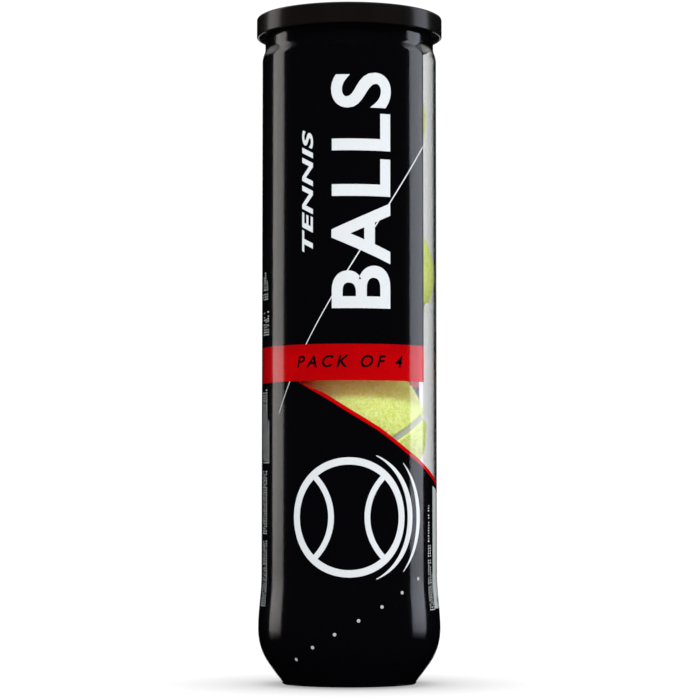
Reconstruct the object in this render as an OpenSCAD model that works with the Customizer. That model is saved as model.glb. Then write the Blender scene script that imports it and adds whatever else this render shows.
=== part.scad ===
// Clear plastic can of four tennis balls, in millimetres.
// The can stands on its foot ring at z = 0, on the Z axis. The front of its printed sleeve faces -Y.

/* [Balls] */
// Diameter of a ball over its felt
ball_d = 66.2; // [60:0.2:80]
// Thickness of the felt
felt_t = 3.1; // [2.6:0.1:3.8]
// Wall of the hollow rubber core
core_wall = 3.7; // [3:0.1:4.5]
// Width of the rubbery seam between the two felts
seam_w = 3; // [2:0.2:4]
// How far the seam lies below the felt
seam_sink = 0.9; // [0.4:0.1:1.4]
// Gap between two neighbouring balls
ball_gap = 0.25; // [0.2:0.05:1]

/* [Bottle] */
// Room between a centred ball and the bottle's wall
ball_play = 3.3; // [2.4:0.1:5]
// Wall of the blown bottle
bottle_wall = 0.45; // [0.35:0.05:0.7]
// Thickness of the bottle's base
base_wall = 1; // [0.8:0.1:1.6]
// Height of the pushed-up dome, over the bottle's inside
dome_h = 6.1; // [5:0.1:9]
// Outer radius of the flat ring that the can stands on
foot_r = 27.4; // [22:0.2:29]
// Width of that ring
foot_w = 1.4; // [0.8:0.1:2.4]
// Height of the widest level of the belly
belly_z = 23.2; // [22.4:0.2:30]
// How far the belly stands out from the straight wall
belly_out = 1.4; // [0.6:0.1:2.4]
// Radius of the curve under the belly
flank_r = 26; // [22:0.5:28]
// Height over which the belly fades into the straight wall
belly_fade = 23; // [16:1:30]
// Height of the shoulder
shoulder_h = 5.2; // [4:0.2:8]
// Height from the top of the shoulder to the rim
neck_h = 12; // [9:0.5:16]

/* [Sleeve] */
// Thickness of the shrunk film
film_t = 0.12; // [0.08:0.02:0.2]
// Height of the film's lower edge, on the rounded heel
film_low = 0.3; // [0.2:0.1:3]

/* [Metal end] */
// Thickness of the aluminium
metal_t = 0.25; // [0.2:0.05:0.35]
// Room between a centred ball and the torn edge
mouth_play = 1.05; // [0.8:0.05:1.6]
// Width of the lip that stays on the ring after tearing
lip_w = 0.6; // [0.4:0.1:1.2]
// Room between the top ball and the panel
headroom = 3.4; // [2.8:0.1:8]
// Depth of the panel below the rim
countersink = 5.3; // [4.6:0.1:7]
// Width of the double seam
seam_fold_w = 2.65; // [2.5:0.05:3.4]
// Height of the double seam
seam_fold_h = 3; // [2.6:0.1:3.6]
// Gap left where the panel is scored
score_gap = 0.2; // [0.15:0.05:0.3]
// Length of the pull tab
tab_len = 27; // [22:0.5:28]
// Thickness of the pull tab's hemmed edge
tab_t = 1.3; // [1:0.1:1.8]
// Radius of the rivet's post
rivet_r = 1.7; // [1.2:0.1:2.2]

/* [Cap] */
// Thickness of the cap's top plate
cap_top_t = 1.2; // [0.8:0.1:2]
// Wall of the cap's skirt
cap_wall = 1.2; // [0.8:0.1:1.6]
// Height of the cap
cap_h = 8.6; // [7:0.2:12]
// Gap between the cap and the rim
cap_gap = 0.3; // [0.25:0.05:0.6]
// How far the snap bead stands in from the skirt
snap_bead = 0.55; // [0.3:0.05:0.6]

/* [Hidden] */
$fn = 96;
BALLS = 4;
PIECES = ["core_lower", "core_upper", "felt_a", "felt_b", "seam"];

// Balls
ball_r = ball_d / 2;
glue = 0.05;                    // film of glue between two parts of a ball
core_r = ball_r - felt_t - glue;
rest_gap = 0.3;                 // between the lowest ball and the dome
lean = [0, -0.21, 0.79, -0.21]; // each ball's sideways place, as a share of the play
turn = [[20, 35, 70], [-69, 5, -50], [-91, 25, -10], [15, -60, 200]]; // each ball's own turn
function side(i) = lean[i] * ball_play;
function rise(i) = sqrt(pow(ball_d + ball_gap, 2) - pow(side(i) - side(i - 1), 2));
function ball_z(i) = i == 0 ? dome_h + rest_gap + ball_r : ball_z(i - 1) + rise(i);

// Radii of the straight wall and of the neck
inside_r = ball_r + ball_play;
bottle_r = inside_r + bottle_wall;
sleeve_r = bottle_r + film_t;
mouth_r = ball_r + mouth_play;
chuck_r = mouth_r + lip_w;
neck_gap = 0.2;                 // between the end's wall and the neck
neck_inside_r = chuck_r + metal_t + neck_gap;
neck_in = inside_r - neck_inside_r;

// Heights
panel_z = ball_z(BALLS - 1) + ball_r + headroom;
rim_z = panel_z + metal_t + countersink;
shoulder_top = rim_z - neck_h;
cap_z = rim_z + cap_gap + cap_top_t;

// Double seam. The metal is folded over the flange, with sealing compound between them.
seam_r = chuck_r + seam_fold_w;
seam_low = rim_z - seam_fold_h;
compound_t = 0.3;               // beside the flange
compound_top = 0.33;            // above the flange
metal_under = rim_z - metal_t - 0.02;
flange_top = metal_under - compound_top;
flange_r = seam_r - metal_t - compound_t;
hook_low = seam_low + 0.5;      // lower end of the flange's turned-down edge
flange_round = 0.2;             // rounding of the flange's top corner

// The curve under the belly ends where a straight flank, at this angle from upright, goes on down.
flank_angle = 37;
heel_z = 1.2;                   // height of the rounded heel, which ends at the foot ring
flank_z = belly_z - flank_r * sin(flank_angle);
flank_x = belly_out - flank_r * (1 - cos(flank_angle));
heel_x = flank_x - (flank_z - heel_z) * tan(flank_angle);
heel_in = bottle_r + heel_x - foot_r;

// How far the wall stands out from its straight stretch at a height.
function fade(share) = (1 + cos(180 * min(1, max(0, share)))) / 2;
function swell(z) =
    z < heel_z ? heel_x - heel_in * (1 - sqrt(1 - pow(1 - z / heel_z, 2))) :
    z < flank_z ? flank_x - (flank_z - z) * tan(flank_angle) :
    z < belly_z ? belly_out - flank_r * (1 - cos(asin((belly_z - z) / flank_r))) :
    belly_out * fade((z - belly_z) / belly_fade);
function neck(z) = neck_in * (1 - fade((z - shoulder_top + shoulder_h) / shoulder_h));

// Levels at which the wall's outline turns, from the heel to the shoulder's top.
wall_levels = concat(
    [for (share = [0.04, 0.14, 0.3, 0.55, 1]) heel_z * share],
    [for (a = [flank_angle:-5:0]) belly_z - flank_r * sin(a)],
    [for (share = [0:0.1:1]) belly_z + belly_fade * share],
    [for (share = [0:0.1:1]) shoulder_top - shoulder_h * (1 - share)]);
function wall(r, low, high) = concat(
    [[r + swell(low), low]],
    [for (z = wall_levels) if (z > low + 0.02 && z < high - 0.02) [r + swell(z) - neck(z), z]],
    [[r - neck(high), high]]);
function reversed(list) = [for (i = [len(list) - 1:-1:0]) list[i]];
function arc(x, z, r, from, to, step = 15) = [for (a = [from:step:to]) [x + r * cos(a), z + r * sin(a)]];

// A shallow dome's outline, from the axis out to a radius.
function dome(h, r, low) =
    let (R = (r * r + pow(h - low, 2)) / (2 * (h - low)), end = asin(r / R))
    [for (share = [0:0.125:1]) [R * sin(end * share), h - R * (1 - cos(end * share))]];

// Blown bottle: foot ring, pushed-up dome, belly, straight wall, shoulder, neck and seamed flange
module bottle() {
    moat_z = base_wall + 0.3;   // lowest inside level, round the dome
    outside = concat(
        dome(dome_h - base_wall, foot_r - foot_w, 0),
        wall(bottle_r, 0, flange_top - bottle_wall),
        [[flange_r - bottle_wall, flange_top - bottle_wall], [flange_r - bottle_wall, hook_low],
         [flange_r, hook_low], [flange_r, flange_top - flange_round], [flange_r - flange_round, flange_top]]);
    inside = concat(
        dome(dome_h, foot_r - foot_w, moat_z),
        [[foot_r, moat_z]],
        wall(inside_r, moat_z + 1.2, flange_top));
    color([0.92, 0.95, 0.96, 0.35])
        rotate_extrude()
            polygon(concat(outside, reversed(inside)));
}

// Shrunk film with the print, from under the cap down to the flank
module sleeve() {
    film_high = seam_low - 1.9;
    color([0.04, 0.04, 0.05])
        rotate_extrude()
            polygon(concat(wall(sleeve_r, film_low, film_high), reversed(wall(bottle_r, film_low, film_high))));
}

// Ring of the metal end: lip, wall, double seam and the hook under the bottle's flange
module end_ring() {
    t = metal_t;
    hook_r = chuck_r + 1.2;
    hook_high = rim_z - 1.3;
    round_r = 0.6;
    outside = concat(
        [[mouth_r, panel_z], [chuck_r + t, panel_z], [chuck_r + t, metal_under]],
        [[seam_r - t, metal_under], [seam_r - t, seam_low + t], [hook_r + t, seam_low + t], [hook_r + t, hook_high]],
        [[hook_r, hook_high], [hook_r, seam_low + t]],
        arc(hook_r + t, seam_low + t, t, 180, 270),
        arc(seam_r - t, seam_low + t, t, 270, 360),
        arc(seam_r - round_r, rim_z - round_r, round_r, 0, 90),
        arc(chuck_r + round_r, rim_z - round_r, round_r, 90, 180),
        [[chuck_r, panel_z + t], [mouth_r, panel_z + t]]);
    color([0.8, 0.81, 0.82])
        rotate_extrude()
            polygon(outside);
}

// Sealing compound in the double seam, between the flange and the metal
module seam_compound() {
    in_r = chuck_r + metal_t;
    out_r = seam_r - metal_t;
    color([0.55, 0.6, 0.58])
        rotate_extrude()
            polygon([[in_r, flange_top], [flange_r - flange_round, flange_top], [flange_r, flange_top - flange_round],
                     [flange_r, hook_low], [out_r, hook_low], [out_r, metal_under], [in_r, metal_under]]);
}

// Pull tab and the parts that it works with. The tab's nose is at the front, over the score.
nose_y = -(mouth_r - 1.6);
nose_r = 6;
loop_r = 8.5;
nose_c = nose_y + nose_r;       // centre of the nose's circle
loop_c = nose_y + tab_len - loop_r; // centre of the finger loop's circle
rivet_y = nose_c + 0.8;
slot_r = 4.2;                   // radius of the tab's opening round its tongue
tongue_t = 0.5;
head_t = 0.5;                   // thickness of the rivet's head
head_gap = 0.1;                 // between that head and the tongue
step_r = mouth_r - 4;           // inner radius of the panel's rim
step_down = 0.7;                // the panel's middle lies this much below its rim
tab_z = panel_z + metal_t + cap_gap;
well_r = 7.5;
well_depth = 1.5;
well_y = nose_y + tab_len - 1;

// Sheet of even thickness on a path of [radius, height] points
function sheet(path) = concat(path, reversed([for (p = path) [p[0], p[1] + metal_t]]));

// Scored panel: rim, step, middle, finger well under the tab's loop, and the rivet drawn up from it
module tear_panel() {
    edge = mouth_r - score_gap;
    floor_z = panel_z - step_down;
    well_R = (well_r * well_r + well_depth * well_depth) / (2 * well_depth);
    head_z = tab_z + tongue_t + head_gap;
    color([0.83, 0.84, 0.85]) {
        difference() {
            rotate_extrude()
                polygon(sheet([[0, floor_z], [step_r - 1.4, floor_z], [step_r, panel_z], [edge, panel_z]]));
            translate([0, well_y, floor_z - 1])
                cylinder(r = well_r, h = 2);
        }
        translate([0, well_y, floor_z])
            intersection() {
                translate([0, 0, -well_depth - metal_t])
                    cylinder(r = well_r, h = well_depth + 2 * metal_t);
                difference() {
                    translate([0, 0, well_R - well_depth])
                        sphere(r = well_R);
                    translate([0, 0, well_R - well_depth + metal_t])
                        sphere(r = well_R);
                }
            }
        translate([0, rivet_y, floor_z + metal_t / 2])
            cylinder(r = rivet_r, h = head_z - floor_z);
        translate([0, rivet_y, head_z])
            cylinder(r1 = rivet_r + 1.2, r2 = rivet_r + 0.8, h = head_t);
    }
}

// Tongue of the tab that the rivet holds down
module tab_tongue() {
    color([0.78, 0.79, 0.8])
        translate([0, rivet_y, tab_z])
            difference() {
                union() {
                    cylinder(r = slot_r - 0.6, h = tongue_t);
                    translate([-1.8, -slot_r + 0.5, 0])
                        cube([3.6, slot_r - 0.6, tongue_t]);
                }
                translate([0, 0, -1])
                    cylinder(r = rivet_r + glue, h = 3);
            }
}

// Outline of the tab, drawn in by d
module tab_outline(d) {
    translate([0, nose_c])
        circle(r = nose_r - d);
    translate([0, loop_c])
        circle(r = loop_r - d);
    polygon([[-nose_r + d, nose_c], [nose_r - d, nose_c], [loop_r - d, loop_c], [-loop_r + d, loop_c]]);
}

// Finger hole, grown by d
module finger_hole(d) {
    r = 5;
    spread = 1.2;
    for (side = [-1, 1])
        translate([side * spread, loop_c])
            circle(r = r + d);
    translate([-spread, loop_c - r - d])
        square([2 * spread, 2 * (r + d)]);
}

// Lever with a hemmed edge, a finger hole, and the opening round the tongue
module pull_tab() {
    web = 0.5;
    hem = 1.5;
    color([0.78, 0.79, 0.8])
        translate([0, 0, tab_z])
            difference() {
                linear_extrude(tab_t)
                    tab_outline(0);
                translate([0, 0, web])
                    linear_extrude(tab_t)
                        difference() {
                            tab_outline(hem);
                            finger_hole(1);
                        }
                translate([0, 0, -1])
                    linear_extrude(tab_t + 2)
                        finger_hole(0);
                translate([0, rivet_y, -1])
                    cylinder(r = slot_r, h = tab_t + 2);
            }
}

// Over-cap: top plate with a stacking rim, skirt, snap bead and a small chamfered lower rim
module over_cap() {
    in_r = seam_r + cap_gap + snap_bead - 0.05;
    out_r = in_r + cap_wall;
    low = cap_z - cap_h;
    top = cap_z;
    under = cap_z - cap_top_t;
    bead_z = seam_low - 0.7;
    round_r = 1.1;
    recess_r = out_r - 3.4;
    recess = 0.5;
    color([0.06, 0.06, 0.07])
        rotate_extrude()
            polygon(concat(
                [[0, under], [in_r - 0.5, under], [in_r, under - 0.5], [in_r, bead_z + 0.8],
                 [in_r - snap_bead, bead_z + 0.2], [in_r - snap_bead, bead_z - 0.2], [in_r, bead_z - 1.2]],
                [[in_r, low + 0.3], [in_r + 0.3, low], [out_r - 0.35, low], [out_r, low + 0.35]],
                arc(out_r - round_r, top - round_r, round_r, 0, 90),
                [[recess_r, top], [recess_r - 0.5, top - recess], [0, top - recess]]));
}

// Curve of a ball's seam on the unit sphere. Its two lobes are alike, and waist sets how close they come.
waist = 23;
seam_a = (1 + sin(waist)) / 2;
seam_b = 1 - seam_a;
function seam_point(t) = [
    seam_a * cos(t) + seam_b * cos(3 * t),
    seam_a * sin(t) - seam_b * sin(3 * t),
    2 * sqrt(seam_a * seam_b) * sin(2 * t)];
function seam_run(t) = [
    -seam_a * sin(t) - 3 * seam_b * sin(3 * t),
    seam_a * cos(t) - 3 * seam_b * cos(3 * t),
    4 * sqrt(seam_a * seam_b) * cos(2 * t)];
function unit(v) = v / norm(v);
// The edge of one felt, an angle inwards from the seam's middle
function felt_edge(t, inwards) =
    let (p = seam_point(t), n = unit(cross(p, seam_run(t))))
    unit(p * cos(inwards) + n * sin(inwards));
function swapped(p) = [-p[1], -p[0], p[2]];

// A solid that holds what lies on one felt's side of the seam, drawn in by a length at the felt's surface
module felt_cutter(draw_in) {
    steps = 32;
    reach = 1.7 * ball_r;
    inwards = draw_in / ball_r * 180 / PI;
    one = [for (i = [0:steps]) reach * felt_edge(-45 + 180 * i / steps, inwards)];
    other = [for (i = [1:steps - 1]) swapped(one[i])];
    function a(i) = 1 + i;
    function b(i) = i == 0 ? a(0) : i == steps ? a(steps) : steps + 1 + i;
    polyhedron(
        points = concat([[0, 0, 0]], one, other),
        faces = concat(
            [for (i = [0:steps - 1]) [0, a(i), a(i + 1)]],
            [for (i = [0:steps - 1]) [0, b(i + 1), b(i)]],
            [[a(0), a(1), b(1)], [a(steps), b(steps - 1), a(steps - 1)]],
            [for (i = [1:steps - 2]) [a(i), a(i + 1), b(i + 1), b(i)]]));
}

module ball_at(i) {
    translate([side(i), 0, ball_z(i)])
        rotate(turn[i])
            children();
}

module shell(outer, inner) {
    difference() {
        sphere(r = outer);
        sphere(r = inner);
    }
}

// Half of the pressed rubber core, above or below its joint
module core_half(up) {
    color([0.2, 0.2, 0.21])
        intersection() {
            shell(core_r, core_r - core_wall);
            translate([-ball_d / 2, -ball_d / 2, up ? 0 : -ball_d])
                cube(ball_d);
        }
}

// One of the two felts. The other is the same shape, turned over.
module felt(turned) {
    color([0.8, 0.93, 0.2])
        rotate([turned ? 180 : 0, 0, 0])
            intersection() {
                shell(ball_r, core_r + glue);
                felt_cutter(seam_w / 2);
            }
}

// Rubbery seam between the felts
module ball_seam() {
    color([0.75, 0.77, 0.7])
        difference() {
            shell(ball_r - seam_sink, core_r + glue);
            felt_cutter(seam_w / 2 - glue);
            rotate([180, 0, 0])
                felt_cutter(seam_w / 2 - glue);
        }
}

bottle();
sleeve();
end_ring();
seam_compound();
tear_panel();
tab_tongue();
pull_tab();
over_cap();
for (i = [0:BALLS - 1]) {
    ball = str("ball_", i + 1, "_");
    ball_at(i) core_half(false);
    ball_at(i) core_half(true);
    ball_at(i) felt(false);
    ball_at(i) felt(true);
    ball_at(i) ball_seam();
}
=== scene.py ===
# %% [markdown]
# # A clear can of four tennis balls
# The real object is a blown plastic bottle with a ring-pull metal end, a printed film shrunk round it,
# and a press-on cap. Four felt balls stand in it, one on the other. The CAD model gives every size and
# every moving body, so Blender only has to give each piece its true surface.

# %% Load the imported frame
import math
from contextlib import contextmanager

import bpy
import numpy as np
from mathutils import Euler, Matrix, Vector, noise


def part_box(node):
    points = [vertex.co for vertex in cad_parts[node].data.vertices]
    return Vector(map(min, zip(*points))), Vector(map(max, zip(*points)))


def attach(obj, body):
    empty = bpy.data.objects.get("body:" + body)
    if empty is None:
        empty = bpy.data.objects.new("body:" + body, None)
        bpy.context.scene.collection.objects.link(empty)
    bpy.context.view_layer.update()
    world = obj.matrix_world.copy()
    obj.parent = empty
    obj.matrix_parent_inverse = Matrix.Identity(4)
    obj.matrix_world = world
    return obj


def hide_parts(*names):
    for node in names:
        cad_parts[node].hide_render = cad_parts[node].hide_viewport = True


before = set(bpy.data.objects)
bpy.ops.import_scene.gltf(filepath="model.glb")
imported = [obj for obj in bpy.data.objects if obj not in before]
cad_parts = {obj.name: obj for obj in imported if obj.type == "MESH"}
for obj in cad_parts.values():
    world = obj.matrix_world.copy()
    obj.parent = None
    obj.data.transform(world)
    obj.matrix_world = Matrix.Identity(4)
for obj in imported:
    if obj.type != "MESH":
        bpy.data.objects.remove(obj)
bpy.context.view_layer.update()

# %% [markdown]
# ## Units, colours and shader nodes
# Lengths are thought of in millimetres and stored in metres. Colours are read as screen colours in hex,
# and Blender's shaders want linear light, so one function turns them. One more adds any shader node:
# a word with a capital letter is a socket, and any other word is a setting of the node.

# %% Colour and node helpers
MM = 0.001


def linear(code):
    """A screen colour in hex as linear red, green, blue and 1."""
    parts = [int(code[i : i + 2], 16) / 255 for i in (0, 2, 4)]
    return (*[p / 12.92 if p <= 0.04045 else ((p + 0.055) / 1.055) ** 2.4 for p in parts], 1)


def add(tree, kind, **put):
    """Adds a shader node. A socket's value may be a number, a colour, a node or a node's output."""
    made = tree.nodes.new("ShaderNode" + kind)
    for word, value in put.items():
        if hasattr(made, word):
            setattr(made, word, value)
            continue
        place = int(word[1:]) if word[0] == "_" else word.replace("_", " ")
        if isinstance(value, bpy.types.Node):
            value = value.outputs[0]
        if isinstance(value, bpy.types.NodeSocket):
            tree.links.new(made.inputs[place], value)
        else:
            made.inputs[place].default_value = value
    return made


def finish_named(name):
    """An empty material and its node tree."""
    made = bpy.data.materials.new(name)
    made.use_nodes = True
    made.node_tree.nodes.clear()
    return made, made.node_tree


print("pure red is", linear("FF0000"))

# %% [markdown]
# ## Camera
# The can is seen from a little over a metre away with a long lens, so its sides look almost parallel.
# The camera stands at a quarter of the can's height and looks slightly up, which shows the cap's lower edge.

# %% Place the camera
camera = bpy.data.objects.new("camera", bpy.data.cameras.new("camera"))
bpy.context.scene.collection.objects.link(camera)
bpy.context.scene.camera = camera
camera.data.sensor_width = 36
camera.data.lens = 132.85
camera.location = (0.00031, -1.0927, 0.07324)
camera.rotation_euler = (math.radians(90 + 3.53), 0, 0)
camera.data.clip_start, camera.data.clip_end = 0.05, 50
print("camera distance in metres:", round(camera.location.length, 3))

# %% [markdown]
# ## Studio light
# A glossy black can shows its lights more than its own colour. The studio has two tall narrow softboxes,
# one on each side and a little behind, which draw the two upright bands. The white surroundings light
# the felt and the print, but black cloths hide them from the gloss, except for the ceiling, the upper part
# of the rear wall and the table straight behind the can. The world shader tells those apart by the kind
# of ray that asks. A soft key light, high in front, gives the balls their form.

# %% World and softboxes
world = bpy.data.worlds.new("studio")
bpy.context.scene.world = world
world.use_nodes = True
sky = world.node_tree
sky.nodes.clear()
ray = add(sky, "LightPath")
way = add(sky, "SeparateXYZ", _0=add(sky, "TexCoord").outputs["Generated"])
ceiling = add(
    sky, "MapRange", interpolation_type="SMOOTHSTEP",
    Value=way.outputs["Z"], From_Min=0.75, From_Max=0.95,
)
behind = add(
    sky, "MapRange", interpolation_type="SMOOTHSTEP",
    Value=way.outputs["Y"], From_Min=0.955, From_Max=0.975,
)
below = add(
    sky, "MapRange", interpolation_type="SMOOTHSTEP",
    Value=way.outputs["Z"], From_Min=-0.11, From_Max=-0.14,
)
table = add(sky, "Math", operation="MULTIPLY", _0=behind, _1=below)
high_up = add(
    sky, "MapRange", interpolation_type="SMOOTHSTEP",
    Value=way.outputs["Z"], From_Min=0.24, From_Max=0.42, To_Max=0.75,
)
rear = add(
    sky, "MapRange", interpolation_type="SMOOTHSTEP",
    Value=way.outputs["Y"], From_Min=-0.05, From_Max=0.25,
)
rear_wall = add(sky, "Math", operation="MULTIPLY", _0=high_up, _1=rear)
mirrored = add(sky, "Math", operation="MAXIMUM", _0=ceiling, _1=table)
mirrored = add(sky, "Math", operation="MAXIMUM", _0=mirrored, _1=rear_wall)
WHITE_SEEN, WHITE_LIGHT = 1.05, 0.66  # the white behind the can, and the white that lights it
lit = add(sky, "MapRange", Value=ray.outputs["Is Camera Ray"], To_Min=WHITE_LIGHT, To_Max=WHITE_SEEN)
change = add(sky, "Math", operation="SUBTRACT", _0=mirrored, _1=lit)
level = add(sky, "Math", operation="MULTIPLY_ADD", _0=change, _1=ray.outputs["Is Glossy Ray"], _2=lit)
add(sky, "OutputWorld", Surface=add(sky, "Background", Color=linear("FFFFFF"), Strength=level))
world.cycles.sampling_method = "NONE"
bpy.context.scene.view_settings.view_transform = "Standard"


def aimed(made, bearing, distance, height, drop):
    """Places a light and turns it to the can. Bearing 0 is towards the camera, 90 is to the right, and
    drop is how far under its own height the light points."""
    side, ahead = distance * math.sin(math.radians(bearing)), -distance * math.cos(math.radians(bearing))
    made.location = (side, ahead, height)
    made.rotation_euler = Vector((-side, -ahead, -drop)).to_track_quat("-Z", "Y").to_euler()
    made.visible_camera = False


def softbox(name, bearing, width, low, high, radiance, tint, soft, distance=1.3):
    """A glowing sheet that faces the can and fades towards its edges, as a softbox does. Soft is the
    share of its width in which each side fades."""
    glow, tree = finish_named(name)
    across = add(tree, "SeparateXYZ", _0=add(tree, "TexCoord").outputs["Generated"])
    level = radiance
    for axis, share in (("X", soft), ("Y", 0.25)):
        inward = add(tree, "Math", operation="PINGPONG", _0=across.outputs[axis], _1=0.5)
        fade = add(tree, "MapRange", interpolation_type="SMOOTHSTEP", Value=inward, From_Max=share)
        level = add(tree, "Math", operation="MULTIPLY", _0=level, _1=fade)
    add(tree, "OutputMaterial", Surface=add(tree, "Emission", Color=linear(tint), Strength=level))
    bpy.ops.mesh.primitive_plane_add(size=1)
    made = bpy.context.object
    made.name = name
    made.scale = (width, high - low, 1)
    made.data.materials.append(glow)
    aimed(made, bearing, distance, (low + high) / 2, 0)
    print(name, "is", round(width, 2), "by", round(high - low, 2), "m")


softbox("softbox_left", -107, 0.64, -0.25, 1.35, 2.15, "FFFBF8", 0.16)
softbox("softbox_right", 99, 0.66, -0.25, 1.35, 2.7, "EDF0FF", 0.1)

KEY_RADIANCE = 1.591  # watts from a square metre into each steradian
key = bpy.data.objects.new("key", bpy.data.lights.new("key", "AREA"))
bpy.context.scene.collection.objects.link(key)
key.data.size = 0.5
key.data.spread = math.radians(40)  # a grid keeps it on the can
key.data.energy = math.pi * key.data.size**2 * KEY_RADIANCE
aimed(key, 14, 1.15, 1.2, 1.06)
key.visible_glossy = False

# %% [markdown]
# The floor is a glowing white sheet, so it has no horizon. Near the can an ambient-occlusion mask dims its
# glow:
# a painted contact shadow where the foot hides it from the room. It isn't part of the object.

# %% Floor
board, tree = finish_named("floor_glow_painted_contact_shadow")
open_sky = add(tree, "AmbientOcclusion", samples=16, Distance=0.06)
# painted contact shadow: the glow is lowered where ambient occlusion finds the can close by
painted_shadow = add(tree, "MapRange", Value=open_sky.outputs["AO"], From_Min=0.35, From_Max=0.98, To_Min=0.6, To_Max=0)
away = add(tree, "VectorMath", operation="LENGTH", _0=add(tree, "TexCoord").outputs["Object"]).outputs["Value"]
near_can = add(tree, "MapRange", Value=away, From_Min=0.2, From_Max=0.4, To_Min=-1, To_Max=0)
level = add(tree, "Math", operation="MULTIPLY_ADD", _0=painted_shadow, _1=near_can, _2=WHITE_SEEN)
add(tree, "OutputMaterial", Surface=add(tree, "Emission", Color=linear("FFFFFF"), Strength=level))
bpy.ops.object.select_all(action="DESELECT")
bpy.ops.mesh.primitive_grid_add(x_subdivisions=8, y_subdivisions=8, size=12)
floor = bpy.context.object
floor.name = "floor"
floor.visible_glossy = False
floor.data.materials.append(board)

# %% [markdown]
# ## Working by hand, in code
# Every operator acts on what is selected. So one helper selects a single piece, one opens it in edit mode,
# one applies a modifier, and one finishes a piece: its name, its material, smooth shading, and the CAD body
# that it moves with.

# %% Selection, editing and finishing helpers
def only(piece):
    """Selects this piece and nothing else."""
    bpy.ops.object.select_all(action="DESELECT")
    piece.select_set(True)
    bpy.context.view_layer.objects.active = piece


@contextmanager
def editing(piece):
    """Opens a piece in edit mode with all of it selected."""
    only(piece)
    bpy.ops.object.mode_set(mode="EDIT")
    bpy.ops.mesh.select_all(action="SELECT")
    yield
    bpy.ops.object.mode_set(mode="OBJECT")


def apply(piece, kind, **settings):
    """Adds a modifier and applies it."""
    only(piece)
    made = piece.modifiers.new(kind, kind)
    for word, value in settings.items():
        setattr(made, word, value)
    bpy.ops.object.modifier_apply(modifier=made.name)


def piece_from(name, points, faces, edges=()):
    """A new piece from its own points, in metres."""
    mesh = bpy.data.meshes.new(name)
    mesh.from_pydata([tuple(p) for p in points], list(edges), faces)
    made = bpy.data.objects.new(name, mesh)
    bpy.context.scene.collection.objects.link(made)
    return made


def joined(pieces):
    """Several pieces made one."""
    only(pieces[0])
    for piece in pieces:
        piece.select_set(True)
    bpy.ops.object.join()
    return pieces[0]


def settle(piece, name, finish, body, replaces=None, smooth=30):
    """Names a piece, gives it its finish, and fixes it to its CAD body."""
    piece.name = piece.data.name = name
    piece.data.materials.clear()
    piece.data.materials.append(finish)
    only(piece)
    bpy.ops.object.transform_apply(location=True, rotation=True, scale=True)
    bpy.ops.object.shade_smooth_by_angle(angle=math.radians(smooth))
    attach(piece, body)
    if replaces:
        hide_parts(replaces)
    print(name, "has", len(piece.data.polygons), "faces")
    return piece


def coordinates(piece):
    """A piece's points as an array."""
    return np.array([v.co for v in piece.data.vertices], float).reshape(-1, 3)


def reshape(piece, points):
    """Moves a piece's points to new places."""
    piece.data.vertices.foreach_set("co", np.asarray(points, np.float32).ravel())
    piece.data.update()


# %% [markdown]
# ## Turned pieces
# The bottle, the film, the ring of the metal end and the cap are all round. A round piece is drawn as half
# an outline and spun about the upright axis. The frame already holds each outline: the points of the CAD
# node that lie in the half-plane to the right. They are joined by short straight lines, so the gentle
# turns are first drawn as smooth curves, and the sharp corners are blunted as real edges are.

# %% Read an outline from the frame
def outline_of(node):
    """The outline of a turned CAD node as (radius, height) points in order, and whether it is a closed loop."""
    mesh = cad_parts[node].data
    number, index = {}, []
    for v in mesh.vertices:
        index.append(number.setdefault(tuple(round(c, 7) for c in v.co), len(number)))
    points = list(number)
    right = [abs(p[1]) < 2e-7 and p[0] > -1e-9 for p in points]
    beside = {}
    for e in mesh.edges:
        a, b = (index[v] for v in e.vertices)
        if a != b and right[a] and right[b]:
            beside.setdefault(a, set()).add(b)
            beside.setdefault(b, set()).add(a)
    ends = [a for a in beside if len(beside[a]) == 1]
    walk = [ends[0] if ends else next(iter(beside))]
    while True:
        onward = [b for b in beside[walk[-1]] if b not in walk]
        if not onward:
            break
        walk.append(onward[0])
    outline = [(points[a][0], points[a][2]) for a in walk]
    if ends:  # a flat face has no point on the axis, so the outline is carried on to it
        start, end = outline[0], outline[-1]
        outline = [(0, start[1])] * (start[0] > 1e-6) + outline + [(0, end[1])] * (end[0] > 1e-6)
    print(node, "has", len(outline), "outline points,", "open" if ends else "closed")
    return outline, not ends


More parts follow.
